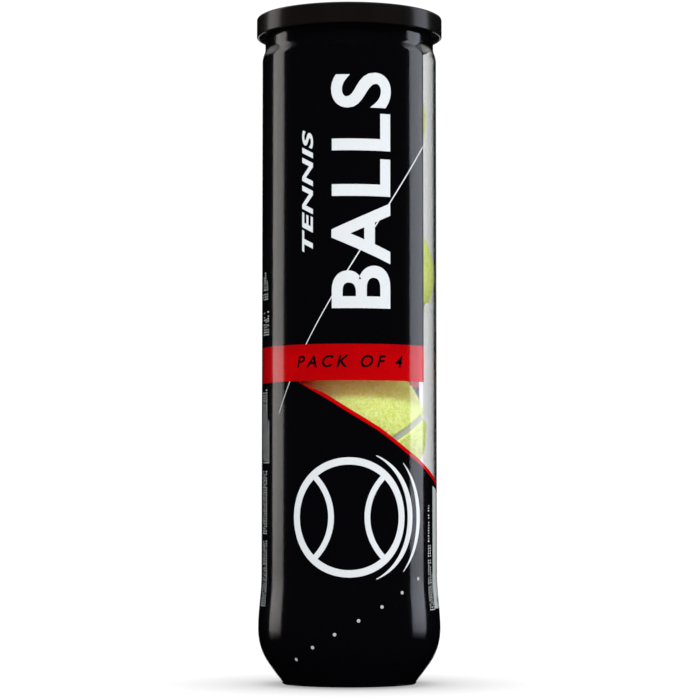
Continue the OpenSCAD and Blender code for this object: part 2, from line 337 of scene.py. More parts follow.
# %% Draw it smooth
def eased(outline, closed, corner=35, blunt=0.1 * MM, step=4):
    """An outline with its gentle turns drawn as curves, and its corners blunted. Corner is the sharpest
    turn in degrees that counts as gentle, blunt the cut in metres, and step the bend of each new part."""
    points = [Vector(p) for p in outline]
    count = len(points)
    runs = count if closed else count - 1
    run = [points[(i + 1) % count] - points[i] for i in range(runs)]
    tangent = [None] * count
    for i in range(count):
        if closed or 0 < i < count - 1:
            before, after = run[i - 1], run[i]
            if before.angle(after) < math.radians(corner):
                tangent[i] = (before + after).normalized()
    sharp = [tangent[i] is None and (closed or 0 < i < count - 1) for i in range(count)]
    drawn = []
    for i in range(runs):
        j = (i + 1) % count
        straight, length = run[i].normalized(), run[i].length
        cut = min(blunt, 0.4 * length)
        start = points[i] + straight * cut if sharp[i] else points[i]
        end = points[j] - straight * cut if sharp[j] else points[j]
        out, into = tangent[i] or straight, tangent[j] or straight
        bend = math.degrees(out.angle(straight) + straight.angle(into))
        parts = max(1, math.ceil(bend / step))
        reach = (end - start).length
        for k in range(parts + 1):
            t = k / parts
            drawn.append(
                start * (2 * t**3 - 3 * t**2 + 1) + out * reach * (t**3 - 2 * t**2 + t)
                + end * (3 * t**2 - 2 * t**3) + into * reach * (t**3 - t**2)
            )
        if sharp[j]:
            onward = run[j].normalized() * min(blunt, 0.4 * run[j].length)
            for t in (1 / 3, 2 / 3):
                drawn.append(end * (1 - t) ** 2 + points[j] * 2 * t * (1 - t) + (points[j] + onward) * t**2)
    kept = [drawn[0]]
    for p in drawn[1:]:
        if (p - kept[-1]).length > 0.004 * MM:
            kept.append(p)
    if closed and (kept[0] - kept[-1]).length < 0.004 * MM:
        kept.pop()
    return [tuple(p) for p in kept]


# %% Spin it
def turned(name, outline, closed, steps=192):
    """Spins an outline of (radius, height) points round the upright axis into a skin."""
    count = len(outline)
    edges = [(i, (i + 1) % count) for i in range(count if closed else count - 1)]
    made = piece_from(name, [(max(r, 0), 0, z) for r, z in outline], [], edges)
    with editing(made):
        bpy.ops.mesh.spin(steps=steps, angle=2 * math.pi, center=(0, 0, 0), axis=(0, 0, 1))
        bpy.ops.mesh.select_all(action="SELECT")
        bpy.ops.mesh.remove_doubles(threshold=0.002 * MM)
        bpy.ops.mesh.normals_make_consistent(inside=False)
    return made


# %% [markdown]
# ## Clear plastic
# The bottle is stretch-blown PET and the film is shrunk PET: both clear, hard and glossy. Most light goes
# straight through, and the share that is mirrored grows towards the edge, which is what makes the clear
# strip turn grey near the can's side. A wall this thin doesn't bend what is seen through it, so a
# Transparent shader and a Glossy one, mixed by Fresnel, are enough. Only the face that the light enters
# mirrors it. The back faces let it all through, or the wall would mirror like thick glass.

# %% Clear plastic finishes
def clear_plastic(name, tint, rim, roughness, wave_mm, wave_height):
    """A clear thin wall with low waves in its surface, in mm. Rim is its colour where it is seen edge-on."""
    made, tree = finish_named(name)
    place = add(tree, "Mapping", _0=add(tree, "TexCoord").outputs["Object"], Scale=(1, 1, 0.35))
    waves = add(tree, "TexNoise", Vector=place, Scale=1 / (wave_mm * MM), Detail=1.5)
    skin = add(tree, "Bump", Height=waves, Strength=1.0, Distance=wave_height * MM)
    facing = add(tree, "LayerWeight", Blend=0.5).outputs["Facing"]
    graze = add(tree, "MapRange", interpolation_type="SMOOTHSTEP", Value=facing, From_Min=0.74, From_Max=0.92)
    tone = add(tree, "MixRGB", Fac=graze, Color1=linear(tint), Color2=linear(rim))
    through = add(tree, "BsdfTransparent", Color=tone)
    mirror = add(tree, "BsdfGlossy", Color=linear("FFFFFF"), Roughness=roughness, Normal=skin)
    front = add(tree, "MixShader", _0=add(tree, "Fresnel", IOR=1.5, Normal=skin), _1=through, _2=mirror)
    back = add(tree, "BsdfTransparent", Color=linear("FFFFFF"))
    side = add(tree, "NewGeometry").outputs["Backfacing"]
    add(tree, "OutputMaterial", Surface=add(tree, "MixShader", _0=side, _1=front, _2=back))
    return made


# Shrunk film lies tight on the bottle but keeps low waves about 9 mm apart, which ripple the highlights.
shrunk_film = clear_plastic("PET_shrink_film_glossy", "FEFEFE", "F2F2F2", 0.11, 9, 0.02)
# Blown PET is smoother, and goes grey where the light has to run along the wall.
blown_pet = clear_plastic("PET_stretch_blown_clear", "FBFCFC", "6E7070", 0.03, 22, 0.03)
# A ray through the can crosses many clear skins and inks.
bpy.context.scene.cycles.transparent_max_bounces = 32

# %% [markdown]
# ## Bottle and film
# Both are spun from their own outlines in the frame.

# %% Make the bottle and the film
bottle = turned("bottle_clear", eased(*outline_of("bottle")), False, 160)
standing = coordinates(bottle)
standing[:, 2] = np.maximum(standing[:, 2], 0)  # the smooth curve would dip a hair under the floor
reshape(bottle, standing)
settle(bottle, "bottle_clear", blown_pet, "can", "bottle")

film_outline = eased(*outline_of("sleeve"), blunt=0.03 * MM)
film = turned("film_clear", film_outline, True)
settle(film, "film_clear", shrunk_film, "can", "sleeve")

# %% [markdown]
# ## The print
# The film is printed on its inner side before it is shrunk, so every ink lies under a clear glossy skin.
# Each ink is therefore a mesh of its own, 0.02 mm thick, inside the 0.12 mm film: black deepest, then the
# long line, red, and white. A design like this is drawn flat, with x along the wall from the front and
# z up, and then rolled on to the film. The film's radius at each height comes from its outline.

# %% The wall's radius at each height
ROLL_R = 37.0 * MM  # the radius at which the flat drawing keeps its size
INK_THICK = 0.02 * MM
BLACK_DEPTH, LINE_DEPTH, RED_DEPTH, WHITE_DEPTH = 0.10, 0.085, 0.07, 0.04  # in mm under the film's face
loop = np.array(film_outline + film_outline[:1])
low, high = loop[:, 1].min(), loop[:, 1].max()
heights = np.linspace(low + 1e-6, high - 1e-6, 2400)
radii = np.zeros_like(heights)
for (r0, z0), (r1, z1) in zip(loop[:-1], loop[1:]):
    over = (heights >= min(z0, z1)) & (heights <= max(z0, z1))
    if abs(z1 - z0) > 1e-9:
        radii[over] = np.maximum(radii[over], r0 + (r1 - r0) * (heights[over] - z0) / (z1 - z0))
print("film radius in mm at 5, 23, 150 and 274 mm:",
      [round(float(np.interp(h * MM, heights, radii)) / MM, 2) for h in (5, 23, 150, 274)])


def rolled(piece, depth):
    """Thickens a flat print and rolls it on to the film, at a depth in mm under its face."""
    apply(piece, "SOLIDIFY", thickness=INK_THICK, offset=0)
    flat = coordinates(piece)
    radius = np.interp(flat[:, 2], heights, radii) - depth * MM - flat[:, 1]
    angle = flat[:, 0] / ROLL_R
    reshape(piece, np.stack([radius * np.sin(angle), -radius * np.cos(angle), flat[:, 2]], 1))
    with editing(piece):
        bpy.ops.mesh.normals_make_consistent(inside=False)
    return piece


# %% [markdown]
# A large area of ink is a grid between a lower and an upper edge. Its columns are 2 mm apart, so that it
# follows the round wall. Its rows are close where the wall is curved, and far apart where it is straight.

# %% Ink areas
def edge_at(edge, x):
    """The height of an edge, which is a number or a list of (x, z) knots, in mm."""
    return edge if isinstance(edge, (int, float)) else float(np.interp(x, *np.array(edge).T))


LOW_EDGE, HIGH_EDGE = 0.35, 275.75  # where the black starts and ends, in mm
LEVELS = [0.35, 0.6, 0.9, 1.2, 2.5, 4, 6, *np.arange(7.5, 47.5, 1.6), *np.arange(261.5, 276, 0.5)]


def area(x0, x1, bottom, top, pitch=2.0):
    """A flat area of ink in mm, from x0 to x1, between two edges."""
    columns = np.linspace(x0, x1, max(2, math.ceil((x1 - x0) / pitch) + 1))
    lowest = min(edge_at(bottom, x) for x in columns)
    highest = max(edge_at(top, x) for x in columns)
    rows = [lowest, *[z for z in LEVELS if lowest + 0.1 < z < highest - 0.1], highest]
    points, faces = [], []
    for x in columns:
        under, over = edge_at(bottom, x), edge_at(top, x)
        for z in rows:
            points.append((x * MM, 0, min(max(z, under), over) * MM))
    for i in range(len(columns) - 1):
        for j in range(len(rows) - 1):
            a = i * len(rows) + j
            faces.append((a, a + len(rows), a + len(rows) + 1, a + 1))
    made = piece_from("area", points, faces)
    with editing(made):
        bpy.ops.mesh.remove_doubles(threshold=0.001 * MM)
        bpy.ops.mesh.dissolve_degenerate(threshold=0.001 * MM)
    return made


# %% [markdown]
# Lines, rings and small marks are ribbons along a path, and words are Blender text turned into mesh.
# A long flat shape is then cut by upright planes 2 mm apart, or it would cut across the round wall.

# %% Ribbons and words
def ribbon(path, width, closed=False):
    """A flat ribbon in mm along a path of (x, z) points. Width is one number or one for each point."""
    path = np.array(path, float)
    count = len(path)
    widths = np.broadcast_to(width, count)
    ahead = np.roll(path, -1, 0) - path
    behind = path - np.roll(path, 1, 0)
    if not closed:
        ahead[-1], behind[0] = behind[-1], ahead[0]
    along = ahead / np.linalg.norm(ahead, axis=1)[:, None] + behind / np.linalg.norm(behind, axis=1)[:, None]
    along /= np.linalg.norm(along, axis=1)[:, None]
    side = np.stack([-along[:, 1], along[:, 0]], 1) * widths[:, None] / 2
    points = [(x * MM, 0, z * MM) for x, z in np.concatenate([path + side, path - side])]
    faces = [(count + i, count + (i + 1) % count, (i + 1) % count, i) for i in range(count - (not closed))]
    return piece_from("ribbon", points, faces)


def sliced(piece, pitch=2.0):
    """Cuts a flat print by upright planes, so that it can follow the round wall."""
    x = coordinates(piece)[:, 0] / MM
    for k in range(math.ceil(x.min() / pitch), math.floor(x.max() / pitch) + 1):
        with editing(piece):
            bpy.ops.mesh.bisect(plane_co=(k * pitch * MM, 0, 0), plane_no=(1, 0, 0))
    return piece


def word(text, x0, x1, z0, z1, upwards=False, slant=0.0, bold=0.0, spacing=1.0):
    """A flat word that fills a rectangle in mm. An upward one reads from below, its letters' feet to the
    right. Slant, bold and spacing are the font's own settings."""
    bpy.ops.object.select_all(action="DESELECT")
    bpy.ops.object.text_add()
    made = bpy.context.object
    made.data.body = text
    made.data.shear, made.data.offset, made.data.space_character = slant, bold, spacing
    made.data.resolution_u = 8
    bpy.ops.object.convert(target="MESH")
    flat = coordinates(made)
    share = (flat - flat.min(0)) / np.maximum(np.ptp(flat, axis=0), 1e-9)
    if upwards:
        share = np.stack([1 - share[:, 1], share[:, 0]], 1)
    x, z = x0 + share[:, 0] * (x1 - x0), z0 + share[:, 1] * (z1 - z0)
    reshape(made, np.stack([x * MM, 0 * x, z * MM], 1))
    return sliced(made)


# %% [markdown]
# Printing ink is matt by itself and takes its gloss from the film over it, so it is a plain matt shader.
# The black is a full cover. The red lets some light through, which tints the ball behind its edge.
# Each has the faint uneven cover of a gravure print, drawn at 1.5 mm so that it shows at all.

# %% Ink finishes
def ink(name, code, uneven, see_through=0.0):
    """A matt ink. Uneven is the second colour of its cover, and see_through the share of light it lets by."""
    made, tree = finish_named(name)
    where = add(tree, "TexCoord").outputs["Object"]
    cover = add(tree, "TexNoise", Vector=where, Scale=1 / (1.5 * MM), Detail=2.0)
    tone = add(tree, "MixRGB", Fac=cover, Color1=linear(code), Color2=linear(uneven))
    shade = add(tree, "BsdfDiffuse", Color=tone, Roughness=0.4)
    if see_through:
        clear = add(tree, "BsdfTransparent", Color=linear("FF2A0A"))
        shade = add(tree, "MixShader", _0=see_through, _1=shade, _2=clear)
    add(tree, "OutputMaterial", Surface=shade)
    return made


def printed(flat, depth, name, finish):
    """Rolls a flat print on to the film and settles it there."""
    settle(rolled(flat, depth), name, finish, "can")


black_ink = ink("gravure_ink_black", "040406", "060608")
red_ink = ink("gravure_ink_red", "C8050F", "C1040D", 0.5)
white_ink = ink("gravure_ink_white", "D3D7DA", "CDD1D5")
grey_ink = ink("gravure_ink_grey", "B9BBBC", "A9ABAD")
panel_ink = ink("gravure_ink_pale_grey", "B4BBB8", "ADB5B2")

# %% [markdown]
# The black covers the can except for a clear upright strip on the right, which stops under the neck, and
# a clear window that opens into it below the red band. The window's lower edge falls to the right in a
# long gentle wave, so its heights are a list of knots. A red border follows that edge.

# %% Black, red and the window's edge
STRIP_X, BACK_X = 36.8, 80.7  # the sides of the clear strip, in mm along the wall from the front
FAR_X = BACK_X - 2 * math.pi * ROLL_R / MM  # the same place as BACK_X, reached the other way round
BAND = (126.0, 141.0)  # lower and upper edge of the red band
NECK_Z = 269.6  # top of the clear strip
APEX_X = -23.1  # the window's left corner
BORDER = 1.8  # height of the red border
FALL = [(APEX_X, 126.1), (-10.4, 119.1), (1.2, 111.9), (13, 104.9), (19.4, 100.5), (26.6, 95.8),
        (35.5, 90.9), (41.6, 87.7), (52.9, 82.4), (66, 75.0), (BACK_X, 66.5)]


def above(edge, rise, limit):
    """An edge raised by some mm and held under a limit."""
    return [(x, min(z + rise, limit)) for x, z in edge]


under_band = [(FAR_X, BAND[0] + 0.1), (APEX_X, BAND[0] + 0.1), *above(FALL, 0.15, BAND[0])]
black = joined([
    area(FAR_X, BACK_X, LOW_EDGE, under_band),
    area(FAR_X, STRIP_X, BAND[1] - 0.1, HIGH_EDGE),
    area(STRIP_X, BACK_X, NECK_Z, HIGH_EDGE),
])
printed(black, BLACK_DEPTH, "print_black", black_ink)

red = joined([
    area(FAR_X, STRIP_X, *BAND),
    area(APEX_X, BACK_X, FALL, above(FALL, BORDER, BAND[0] - 0.02)),
])
printed(red, RED_DEPTH, "print_red", red_ink)

# %% [markdown]
# The white work is a large upright word, a small slanted one beside it, a long thin line that bends
# slightly and runs behind the band, a row of dots, and a round ball sign with two tapered arcs that show
# it bounce. All the words are plain names of the goods.

# %% White lettering and line
LONG_LINE = [(-33.6, 113.1), (-26.8, 125.7), (-18.6, 141.3), (-6.0, 162.7), (-2.6, 168.0), (7.6, 184.1),
             (17.8, 200.2), (STRIP_X, 224.9)]
knots = np.array(LONG_LINE)
steps = np.arange(knots[0, 0], knots[-1, 0], 1.5)
fit = np.polynomial.Polynomial.fit(knots[:, 0], knots[:, 1], 4)
line_path = [(x, float(fit(x))) for x in [*steps, STRIP_X]]
line_width = np.clip(np.linspace(0.25, 0.75, len(line_path)), 0.25, 0.5)
big_word = word("BALLS", -7.55, 17.9, 155.6, 253.2, upwards=True, bold=0.022, spacing=1.12)
small_word = word("TENNIS", -20.55, -15.4, 179.1, 229.7, upwards=True, slant=0.25, bold=0.03, spacing=1.1)

# %% Ball sign and dots
SIGN_X, SIGN_Z, SIGN_R = 0.0, 70.0, 23.0  # centre and radius of the ring
SEAM_X, SEAM_ARC = 30.5, 23.0  # place and radius of the arcs that stand for the ball's seam
meet = math.acos((SEAM_X**2 + SEAM_ARC**2 - SIGN_R**2) / (2 * SEAM_X * SEAM_ARC))  # half an arc's angle


def sign_arc(x, radius, start, end, width, closed=False):
    """An arc of the ball sign, with angles in radians from the right."""
    angles = np.linspace(start, end, 97)
    angles = angles[:-1] if closed else angles
    return ribbon([(x + radius * math.cos(a), SIGN_Z + radius * math.sin(a)) for a in angles], width, closed)


taper = np.sin(np.linspace(0.02, math.pi - 0.02, 97))
sign = [
    sign_arc(SIGN_X, SIGN_R, 0, 2 * math.pi, 3.0, closed=True),
    sign_arc(SIGN_X + SEAM_X, SEAM_ARC, math.pi - meet, math.pi + meet, 2.4),
    sign_arc(SIGN_X - SEAM_X, SEAM_ARC, -meet, meet, 2.4),
    sign_arc(SIGN_X, SIGN_R + 4.6, -1.15, 1.15, 0.3 + 2.4 * taper),
    sign_arc(SIGN_X, SIGN_R + 9.6, -0.75, 0.75, 0.2 + 2.0 * taper),
]
DOTS = [(32.5, 44.7), (23, 39.15), (13.4, 33.5), (3.7, 28), (-5.8, 22.4), (-15.15, 17), (-24.2, 11.8)]
DOT_R = 0.72
dots = []
for x, z in DOTS:
    bpy.ops.object.select_all(action="DESELECT")
    bpy.ops.mesh.primitive_circle_add(
        vertices=20, radius=DOT_R * MM, fill_type="TRIFAN",
        location=(x * MM, 0, z * MM), rotation=(math.pi / 2, 0, 0),
    )
    bpy.ops.object.transform_apply(location=True, rotation=True)
    dots.append(bpy.context.object)

# %% Print the white work and the band's words
printed(joined([big_word, small_word, *sign]), WHITE_DEPTH, "print_white", white_ink)
printed(ribbon(line_path, line_width), LINE_DEPTH, "print_long_line", white_ink)
printed(joined(dots), WHITE_DEPTH, "print_dots", grey_ink)
band_word = word("PACK OF 4", -23.1, 23.65, 131.35, 136.4, slant=0.25, bold=0.02, spacing=1.5)
printed(band_word, WHITE_DEPTH, "print_band_word", black_ink)

# %% [markdown]
# The real can has columns of small print that run up its sides. Here they are short strokes with gaps
# between words, from a seeded draw, so they look like small print and spell nothing. The pale panel on the
# right holds plain bars of uneven width.

# %% Small print
draw = np.random.default_rng(4)


def small_print(columns, z0, z1, size):
    """Columns of strokes that run up the can, as one flat piece. A column is its right side and the share
    of the height that it fills. Size is the height of its letters."""
    points, faces = [], []
    for x, share in columns:
        z = z0
        end = z0 + (z1 - z0) * share
        while z < end:
            length = draw.uniform(0.38, 0.56)
            tall = size * draw.choice([0.7, 1.0])
            for across, up in ((0, 0), (tall, 0), (tall, length), (0, length)):
                points.append(((x - across) * MM, 0, (z + up) * MM))
            faces.append(tuple(range(len(points) - 1, len(points) - 5, -1)))
            z += length + (0.58 if draw.random() > 0.16 else 1.4)
    return piece_from("small_print", points, faces)


left_columns = [(-42.0, 0.56), (-44.3, 1.0), (-46.6, 0.96), (-48.9, 1.0)]
print_blocks = [
    small_print(left_columns, 92.5, 123, 1.25),
    small_print(left_columns[1:], 63, 89, 1.25),
    small_print(left_columns[1:], 33, 60, 1.25),
    small_print([(-42.4, 1.0), (-45.0, 0.8), (-47.8, 1.0)], 146, 156, 1.6),
    small_print([(-43.6, 0.7), (-46.0, 1.0), (-48.4, 0.9)], 161, 172, 1.5),
    small_print([(41.3, 1.0), (43.1, 0.62), (44.9, 0.35)], 31.5, 75.4, 1.0),
]
printed(joined(print_blocks), WHITE_DEPTH, "print_small", white_ink)

# %% Panel and bars
printed(area(45.5, 77.0, 32.0, above(FALL, -1.2, 84.0)), RED_DEPTH, "print_panel", panel_ink)
bars, z = [], 38.0
while z < 66:
    thick = float(draw.choice([0.35, 0.7, 1.05]))
    bars.append(area(54.5, 73.0, z, z + thick))
    z += thick + float(draw.choice([0.35, 0.7]))
bars.append(ribbon([(51.0, z) for z in np.linspace(34.5, 36.3, 4)], 1.2))
printed(joined(bars), WHITE_DEPTH, "print_bars", black_ink)

# %% [markdown]
# ## Cap
# The cap is injection-moulded polyethylene, satin and nearly black, with a snap bead inside. It is spun
# from its outline. The top has a low ring near its edge. The mould leaves a small round gate mark in the
# middle, and fine dull grain, drawn here at 0.4 mm.

# %% Cap
black_pe, tree = finish_named("polyethylene_moulded_black_satin")
where = add(tree, "TexCoord").outputs["Object"]
grain = add(tree, "TexNoise", Vector=where, Scale=1 / (0.4 * MM), Detail=3.0)
cloud = add(tree, "TexNoise", Vector=where, Scale=1 / (14 * MM), Detail=2.0)
gloss = add(tree, "MapRange", Value=cloud, To_Min=0.17, To_Max=0.24)
tone = add(tree, "MixRGB", Fac=cloud, Color1=linear("0A0909"), Color2=linear("11100E"))
skin = add(tree, "Bump", Height=grain, Strength=0.3, Distance=0.006 * MM)
shade = add(tree, "BsdfPrincipled", Base_Color=tone, Roughness=gloss, IOR=1.51, Specular_IOR_Level=0.3,
            Normal=skin)
add(tree, "OutputMaterial", Surface=shade)


def raised(outline, base):
    """An outline in mm over a base height, turned to metres."""
    return [(r * MM, base + z * MM) for r, z in outline]


GATE = [(0, 0.18), (1.1, 0.18), (1.5, -0.2), (0, -0.2)]
STACK_RING = [(34.2, -0.1), (34.2, 0.3), (33.6, 0.3), (33.6, -0.1)]
plate_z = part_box("over_cap")[1].z - 0.5 * MM  # the top plate lies 0.5 mm under the rim
cap = turned("cap", eased(*outline_of("over_cap"), blunt=0.12 * MM), False)
gate = turned("gate", eased(raised(GATE, plate_z), False, blunt=0.06 * MM), False, 32)
stack_ring = turned("stack_ring", eased(raised(STACK_RING, plate_z), True, blunt=0.12 * MM), True, 160)
settle(joined([cap, gate, stack_ring]), "cap_moulded", black_pe, "cap", "over_cap")

# %% [markdown]
# ## Metal end
# Can ends are pressed from rolled aluminium sheet. Rolling leaves fine straight lines in one direction,
# which pull each highlight out across them. They are really a few microns apart, and are drawn
# at 0.25 mm to show. The lacquer over the metal scatters some light, so an eighth of it is matt. The ring
# stays on the bottle, and the panel tears out along its score.

# %% Aluminium finishes
def rolled_aluminium(name, code, roughness):
    """Lacquered rolled sheet, with its grain along x."""
    made, tree = finish_named(name)
    where = add(tree, "TexCoord").outputs["Object"]
    place = add(tree, "Mapping", _0=where, Scale=(0.02, 1, 1))
    lines = add(tree, "TexNoise", Vector=place, Scale=1 / (0.25 * MM), Detail=4.0)
    worn = add(tree, "TexNoise", Vector=where, Scale=1 / (7 * MM), Detail=3.0)
    dull = add(tree, "MapRange", Value=worn, To_Min=roughness - 0.06, To_Max=roughness + 0.08)
    tone = add(tree, "MixRGB", Fac=lines, Color1=linear(code), Color2=linear("F1F1EF"))
    skin = add(tree, "Bump", Height=lines, Strength=0.35, Distance=0.006 * MM)
    shade = add(tree, "BsdfPrincipled", Base_Color=tone, Metallic=0.88, Roughness=dull, Normal=skin)
    add(tree, "OutputMaterial", Surface=shade)
    return made


end_aluminium = rolled_aluminium("aluminium_rolled_end_stock", "D5D6D6", 0.27)
tab_aluminium = rolled_aluminium("aluminium_rolled_tab_stock", "CBCCCC", 0.33)

# %% Ring of the end
end_ring = turned("end_ring", eased(*outline_of("end_ring"), blunt=0.05 * MM), True, 160)
settle(end_ring, "end_ring_seamed", end_aluminium, "can", "end_ring")

# %% [markdown]
# The panel starts as a thin spun disc with a step near its edge. Then every point is raised or lowered by
# the beads, the score, and the finger well under the tab's loop, as the press does it. The rivet is spun
# on its own and moved to its place.

# %% Tear panel
SHEET = 0.25 * MM
EDGE_R = 33.95 * MM
PANEL_Z = 275.182 * MM  # underside of the panel near its edge
FLOOR_Z = PANEL_Z - 0.7 * MM  # and inside its step
WELL_Y, WELL_R, WELL_DEEP = -6.55 * MM, 7.5 * MM, 1.5 * MM
RIVET_Y = -25.75 * MM


def panel_height(r):
    """Height of the panel's underside at a radius, before the beads."""
    rise = np.clip((r - 28.75 * MM) / (1.4 * MM), 0, 1)
    return FLOOR_Z + (PANEL_Z - FLOOR_Z) * rise * rise * (3 - 2 * rise)


def hump(distance, width):
    """A smooth hump of height 1 that is width across at its foot."""
    return np.where(np.abs(distance) < width / 2, 0.5 + 0.5 * np.cos(2 * math.pi * distance / width), 0)


rings = np.linspace(0, EDGE_R, 112)
sheet_under = [(r, float(panel_height(r))) for r in rings]
sheet_over = [(r, z + SHEET) for r, z in reversed(sheet_under)]
panel = turned("panel", sheet_under + sheet_over, False, 200)
at = coordinates(panel)
r = np.hypot(at[:, 0], at[:, 1])
well = np.hypot(at[:, 0], at[:, 1] - WELL_Y)
rivet = np.hypot(at[:, 0], at[:, 1] - RIVET_Y)
top_side = at[:, 2] > panel_height(r) + SHEET / 2
beads = 0.3 * hump(r - 24.6 * MM, 2.2 * MM) * np.clip((rivet - 5 * MM) / (2 * MM), 0, 1)
beads += 0.2 * hump(well - 9.2 * MM, 1.8 * MM) + 0.18 * hump(rivet - 3.4 * MM, 1.4 * MM)
score = np.where(top_side, 0.1 * hump(r - 33.1 * MM, 0.7 * MM), 0)
at[:, 2] += (beads - score) * MM - WELL_DEEP * np.clip(1 - (well / WELL_R) ** 2, 0, 1)
reshape(panel, at)

# %% Rivet
HEAD_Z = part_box("pull_tab")[0].z + 0.6 * MM
HEAD = [(1.7, 0), (2.9, 0), (2.85, 0.25), (2.4, 0.47), (1.6, 0.5), (1.1, 0.36), (0, 0.3)]
post_outline = raised([(0, 0.1), (1.7, 0.1)], FLOOR_Z) + raised(HEAD, HEAD_Z)
post = turned("post", eased(post_outline, False, corner=50, blunt=0.06 * MM), False, 48)
shift = coordinates(post)
shift[:, 1] += RIVET_Y
reshape(post, shift)
settle(joined([panel, post]), "tear_panel_pressed", end_aluminium, "panel", "tear_panel")

# %% [markdown]
# The tab is stamped from thicker sheet, and its edge is curled under, so it feels round to the finger.
# Its outline in the frame is exact, so a copy is merged, its flat faces are made whole again, and a
# bevel rolls the edges. The tongue under the rivet is made in the same way.

# %% Tab and tongue
def rounded_copy(node, width, segments):
    """A copy of a CAD node with its flat faces made whole and its edges rounded, by a width in mm."""
    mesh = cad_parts[node].data
    made = piece_from(node + "_copy", [v.co for v in mesh.vertices], [tuple(p.vertices) for p in mesh.polygons])
    with editing(made):
        bpy.ops.mesh.remove_doubles(threshold=0.001 * MM)
        bpy.ops.mesh.dissolve_limited(angle_limit=math.radians(1))
    apply(made, "BEVEL", width=width * MM, segments=segments, limit_method="ANGLE",
          angle_limit=math.radians(40), use_clamp_overlap=True, harden_normals=False)
    return made


for node, name, body, width, segments in (
    ("pull_tab", "pull_tab_curled", "tab", 0.22, 4),
    ("tab_tongue", "tab_tongue_stamped", "panel", 0.12, 3),
):
    settle(rounded_copy(node, width, segments), name, tab_aluminium, body, node)

# %% [markdown]
# ## Balls
# A ball is a hollow rubber core with two felts on it, cut like figures of eight, and a rubbery seam between
# them. The seam's middle is one closed curve on the sphere. A felt is the skin on one side of that
# curve: a grid of points between the curve and its mirror image, drawn in by half the seam's width.
# No primitive has this shape, so its points are worked out, and the skin is pushed up and down by
# noise, rounded at its edge, and covered in short bent fibres.

# %% The seam's curve
BALL_R, CORE_R = 33.1, 30.0  # over the felt, and under it
SEAM_W = 2.6  # the part of the seam that shows between the felts
BALL_CENTRES = [(0, 0, 39.5), (-0.693, 0, 105.946), (2.607, 0, 172.314), (-0.693, 0, 238.682)]
BALL_TURNS = [(20, 35, 70), (-69, 5, -50), (-91, 25, -10), (15, -60, 200)]
INSIDE_R = 36.4  # of the bottle
WAIST = math.radians(23)  # half the angle of a felt's narrow middle, seen from the ball's centre
WIDE = (1 + math.sin(WAIST)) / 2
SLIM = 1 - WIDE


def unit(v):
    """Vectors made one long."""
    return v / np.linalg.norm(v, axis=-1, keepdims=True)


def seam_point(t):
    """The seam's middle on a ball of radius 1. It closes when t has gone once round."""
    return np.stack([
        WIDE * np.cos(t) + SLIM * np.cos(3 * t),
        WIDE * np.sin(t) - SLIM * np.sin(3 * t),
        2 * math.sqrt(WIDE * SLIM) * np.sin(2 * t),
    ], -1)


def seam_side(t):
    """The direction on the sphere that points from the seam into the first felt."""
    along = np.stack([
        -WIDE * np.sin(t) - 3 * SLIM * np.sin(3 * t),
        WIDE * np.cos(t) - 3 * SLIM * np.cos(3 * t),
        4 * math.sqrt(WIDE * SLIM) * np.cos(2 * t),
    ], -1)
    return unit(np.cross(seam_point(t), along))


def beside_seam(t, angle):
    """The direction at an angle to one side of the seam."""
    return unit(seam_point(t) * math.cos(angle) + seam_side(t) * math.sin(angle))


# %% One felt
ALONG, ACROSS = 190, 84  # faces of the grid each way
edge_t = np.radians(np.linspace(-45, 135, ALONG + 1))
near = beside_seam(edge_t, SEAM_W / 2 / BALL_R)
far = np.stack([-near[:, 1], -near[:, 0], near[:, 2]], 1)
border = np.concatenate([near, far])
gap = np.arccos(np.clip((near * far).sum(1), -1, 1))[:, None, None]
share = (0.5 - 0.5 * np.cos(np.linspace(0, math.pi, ACROSS + 1)))[None, :, None]  # rows closer at the edge
gap = np.maximum(gap, 1e-4)
grid = np.sin((1 - share) * gap) * near[:, None] + np.sin(share * gap) * far[:, None]
skin_dirs = unit(grid / np.sin(gap)).reshape(-1, 3)
from_edge = np.arccos(np.clip((skin_dirs @ border.T).max(1), -1, 1)) * BALL_R
rough = np.array([noise.noise(Vector(d) * 22) * 0.10 + noise.noise(Vector(d) * 60) * 0.09 for d in skin_dirs])
round_over = np.sqrt(np.clip(1 - (1 - np.clip(from_edge / 1.1, 0, 1)) ** 2, 0, 1))
skin_r = BALL_R - 0.25 - 1.1 * (1 - round_over) + rough * np.clip(from_edge / 1.0, 0.15, 1)
outer = skin_dirs * skin_r[:, None]
inner = skin_dirs * CORE_R
rows = ACROSS + 1
count = len(skin_dirs)
felt_faces = []
for i in range(ALONG):
    for j in range(ACROSS):
        a = i * rows + j
        felt_faces.append((a, a + rows, a + rows + 1, a + 1))
        felt_faces.append((count + a, count + a + 1, count + a + rows + 1, count + a + rows))
for i in range(ALONG):
    for j, hand in ((0, 1), (ACROSS, -1)):
        a, b = i * rows + j, (i + 1) * rows + j
        felt_faces.append((a, count + a, count + b, b)[::hand])
felt_skin = piece_from("felt_skin", np.concatenate([outer, inner]) * MM, felt_faces)
with editing(felt_skin):
    bpy.ops.mesh.remove_doubles(threshold=0.002 * MM)
    bpy.ops.mesh.normals_make_consistent(inside=False)
print("one felt has", len(felt_skin.data.polygons), "faces")

# %% [markdown]
# The nap is wool and nylon, 2 to 3 mm long, and lies bent over. Each fibre here is a three-sided spike
# with a bend in it, seven faces in all, drawn several times thicker than a real one so that it shows.

